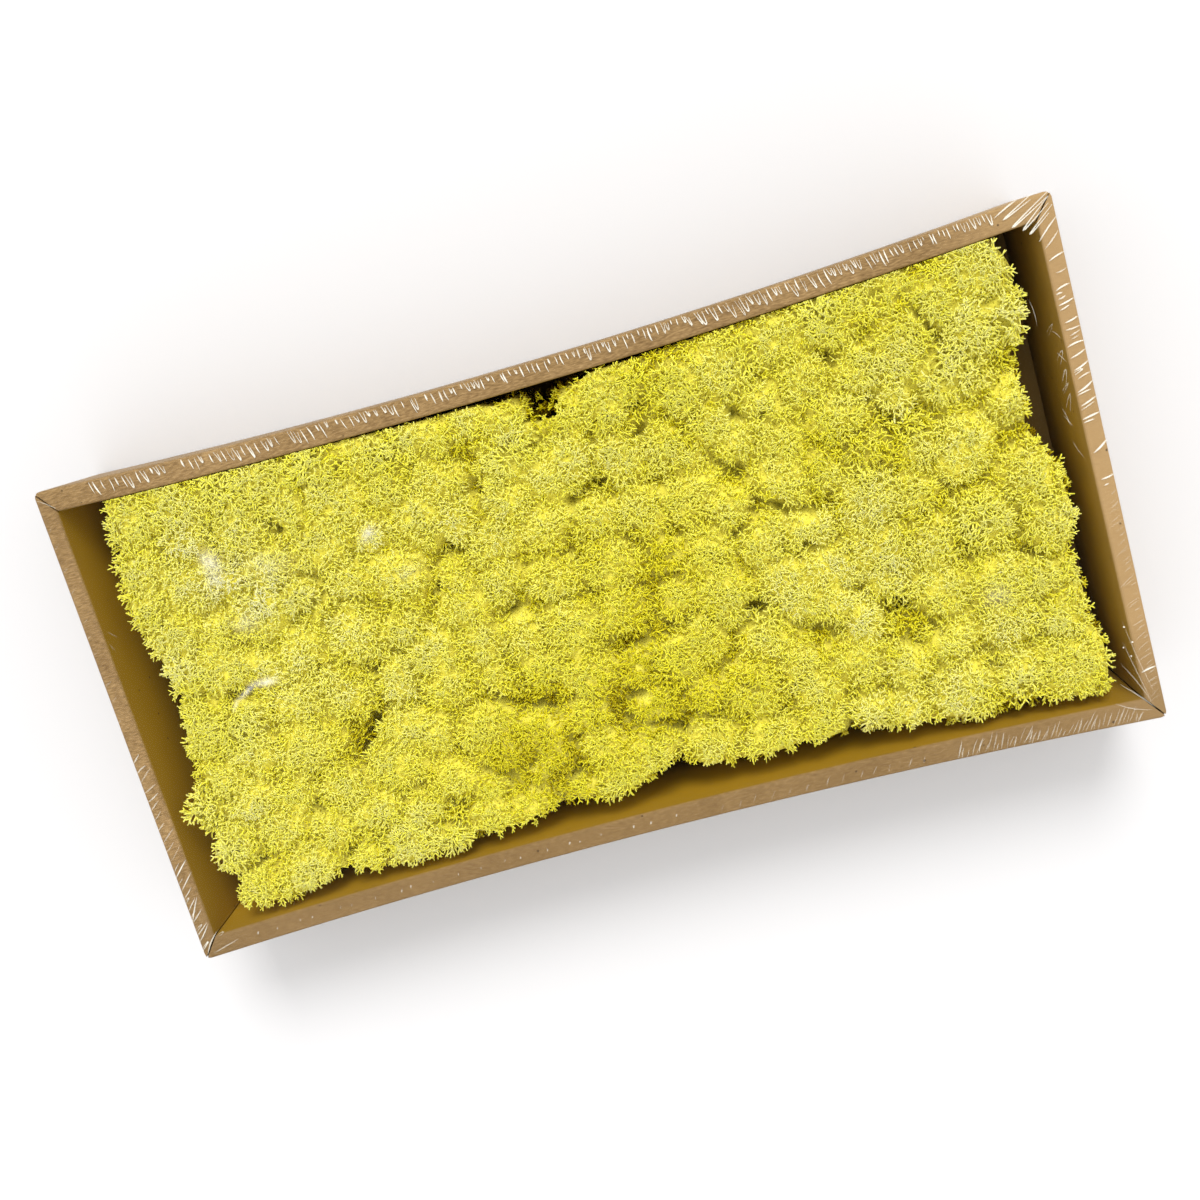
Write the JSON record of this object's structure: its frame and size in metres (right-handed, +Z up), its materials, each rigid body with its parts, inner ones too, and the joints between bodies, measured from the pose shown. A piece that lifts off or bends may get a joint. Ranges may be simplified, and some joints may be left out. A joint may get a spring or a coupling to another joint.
{
  "type": "reindeer moss clump in a kraft tray",
  "caption": "Springy yellow-green reindeer moss clump lying in a shallow rectangular kraft board tray under taut clear shrink film.",
  "frame": {"origin": "centre of the flat underside that the pack rests on", "axes": "+X along the tray's long sides, +Y across them, +Z up out of the tray's open face"},
  "size_m": [0.4, 0.204, 0.06],
  "materials": {
    "reindeer_moss": "matte",
    "kraft_board": "matte",
    "clear_film": "gloss"
  },
  "bodies": {
    "root": {"moss_clump": "reindeer_moss", "kraft_tray": "kraft_board", "shrink_film": "clear_film"}
  },
  "joints": []
}
